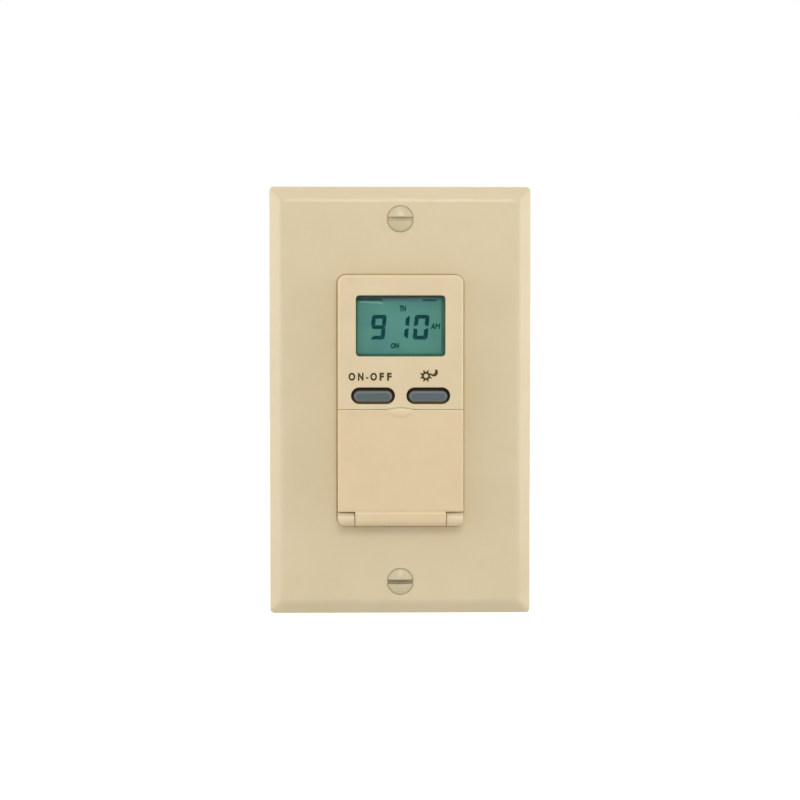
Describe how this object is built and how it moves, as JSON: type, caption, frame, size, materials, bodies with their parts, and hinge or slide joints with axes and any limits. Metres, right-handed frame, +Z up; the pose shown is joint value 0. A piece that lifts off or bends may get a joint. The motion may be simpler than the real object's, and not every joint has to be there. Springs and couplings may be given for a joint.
{
  "type": "astronomical timer switch",
  "caption": "Single-gang in-wall timer switch: cover plate, proud bezel with display, oval keys over a hinged door that hides setting keys, metal strap and deep rear housing.",
  "frame": {"origin": "midpoint between the two box screws, on the wall plane where the strap's back and the plate's rim lie", "axes": "+Z up along the plate, +Y into the wall along the box screws, -Y towards the room, +X to the right as seen from the room"},
  "size_m": [0.0698, 0.0433, 0.1142],
  "materials": {
    "plate_plastic": "satin moulded nylon",
    "bezel_plastic": "satin moulded ABS",
    "door_plastic": "satin moulded ABS",
    "enamelled_screw": "enamel over steel",
    "zinc_steel": "bright zinc plating",
    "screw_steel": "zinc plated steel",
    "washer_fibre": "pressed fibre",
    "green_screw_paint": "green dyed zinc plating",
    "key_plastic": "satin moulded plastic",
    "plunger_plastic": "moulded plastic",
    "switch_plastic": "moulded plastic",
    "clear_lens": "clear polished acrylic",
    "display_glass": "polished glass",
    "display_film": "reflective film",
    "strip_rubber": "silicone",
    "frame_plastic": "moulded plastic",
    "circuit_board": "solder mask over glass fibre",
    "sheet_plastic": "polyester film",
    "chip_plastic": "moulded epoxy",
    "can_metal": "drawn can",
    "cell_steel": "nickel plated steel",
    "header_plastic": "moulded plastic",
    "pin_brass": "tinned brass",
    "relay_base_plastic": "moulded plastic",
    "relay_cover_plastic": "moulded plastic",
    "relay_iron": "nickel plated soft iron",
    "coil_copper": "enamelled copper winding",
    "contact_metal": "silver tipped brass",
    "capacitor_plastic": "moulded plastic",
    "varistor_epoxy": "dipped epoxy",
    "housing_plastic": "moulded phenolic",
    "terminal_brass": "stamped brass"
  },
  "bodies": {
    "switch": {"wall_plate": "plate_plastic", "bezel": "bezel_plastic", "plate_screws": "enamelled_screw", "mounting_strap": "zinc_steel", "box_screws": "screw_steel", "case_screws": "screw_steel", "board_screws": "screw_steel", "terminal_screws": "screw_steel", "screw_washers": "washer_fibre", "ground_screw": "green_screw_paint", "display_lens": "clear_lens", "lcd_front_glass": "display_glass", "lcd_rear_glass": "display_glass", "lcd_reflector": "display_film", "zebra_strips": "strip_rubber", "lcd_frame": "frame_plastic", "logic_board": "circuit_board", "power_board": "circuit_board", "insulating_sheet": "sheet_plastic", "front_switches": "switch_plastic", "setting_switches": "switch_plastic", "controller_chip": "chip_plastic", "crystal": "can_metal", "storage_capacitor": "can_metal", "backup_cell": "cell_steel", "cell_clip": "cell_steel", "socket_header": "header_plastic", "pin_header": "header_plastic", "header_pins": "pin_brass", "relay_base": "relay_base_plastic", "relay_cover": "relay_cover_plastic", "relay_yoke": "relay_iron", "relay_coil": "coil_copper", "relay_fixed_contact": "contact_metal", "film_capacitor": "capacitor_plastic", "varistor": "varistor_epoxy", "rear_housing": "housing_plastic", "terminal_plates": "terminal_brass"},
    "door": {"door": "door_plastic"},
    "relay_arm": {"relay_armature": "relay_iron", "relay_contact_arm": "contact_metal"},
    "on_off_button": {"on_off_key": "key_plastic", "on_off_plunger": "plunger_plastic"},
    "sun_moon_button": {"sun_moon_key": "key_plastic", "sun_moon_plunger": "plunger_plastic"},
    "clock_button": {"clock_key": "key_plastic", "clock_plunger": "plunger_plastic"},
    "day_button": {"day_key": "key_plastic", "day_plunger": "plunger_plastic"},
    "hour_button": {"hour_key": "key_plastic", "hour_plunger": "plunger_plastic"},
    "program_button": {"program_key": "key_plastic", "program_plunger": "plunger_plastic"},
    "date_button": {"date_key": "key_plastic", "date_plunger": "plunger_plastic"},
    "minute_button": {"minute_key": "key_plastic", "minute_plunger": "plunger_plastic"}
  },
  "joints": [
    {"name": "door hinge", "type": "hinge", "parent": "switch", "child": "door", "pos_m": [0, -0.0091, -0.03135], "axis": [1, 0, 0], "range_deg": [0, 180]},
    {"name": "on off press", "type": "slide", "parent": "switch", "child": "on_off_button", "axis": [0, 1, 0], "range_m": [0, 0.0008], "stiffness_N_per_m": 500, "springref_m": -0.0005},
    {"name": "sun moon press", "type": "slide", "parent": "switch", "child": "sun_moon_button", "axis": [0, 1, 0], "range_m": [0, 0.0008], "stiffness_N_per_m": 500, "springref_m": -0.0005},
    {"name": "clock press", "type": "slide", "parent": "switch", "child": "clock_button", "axis": [0, 1, 0], "range_m": [0, 0.0006], "stiffness_N_per_m": 500, "springref_m": -0.0005},
    {"name": "day press", "type": "slide", "parent": "switch", "child": "day_button", "axis": [0, 1, 0], "range_m": [0, 0.0006], "stiffness_N_per_m": 500, "springref_m": -0.0005},
    {"name": "hour press", "type": "slide", "parent": "switch", "child": "hour_button", "axis": [0, 1, 0], "range_m": [0, 0.0006], "stiffness_N_per_m": 500, "springref_m": -0.0005},
    {"name": "program press", "type": "slide", "parent": "switch", "child": "program_button", "axis": [0, 1, 0], "range_m": [0, 0.0006], "stiffness_N_per_m": 500, "springref_m": -0.0005},
    {"name": "date press", "type": "slide", "parent": "switch", "child": "date_button", "axis": [0, 1, 0], "range_m": [0, 0.0006], "stiffness_N_per_m": 500, "springref_m": -0.0005},
    {"name": "minute press", "type": "slide", "parent": "switch", "child": "minute_button", "axis": [0, 1, 0], "range_m": [0, 0.0006], "stiffness_N_per_m": 500, "springref_m": -0.0005},
    {"name": "relay armature", "type": "hinge", "parent": "switch", "child": "relay_arm", "pos_m": [0, 0.01147, 0.0094], "axis": [-1, 0, 0], "range_deg": [0, 3.5], "stiffness_Nm_per_rad": 0.02, "springref_deg": -5.73}
  ]
}
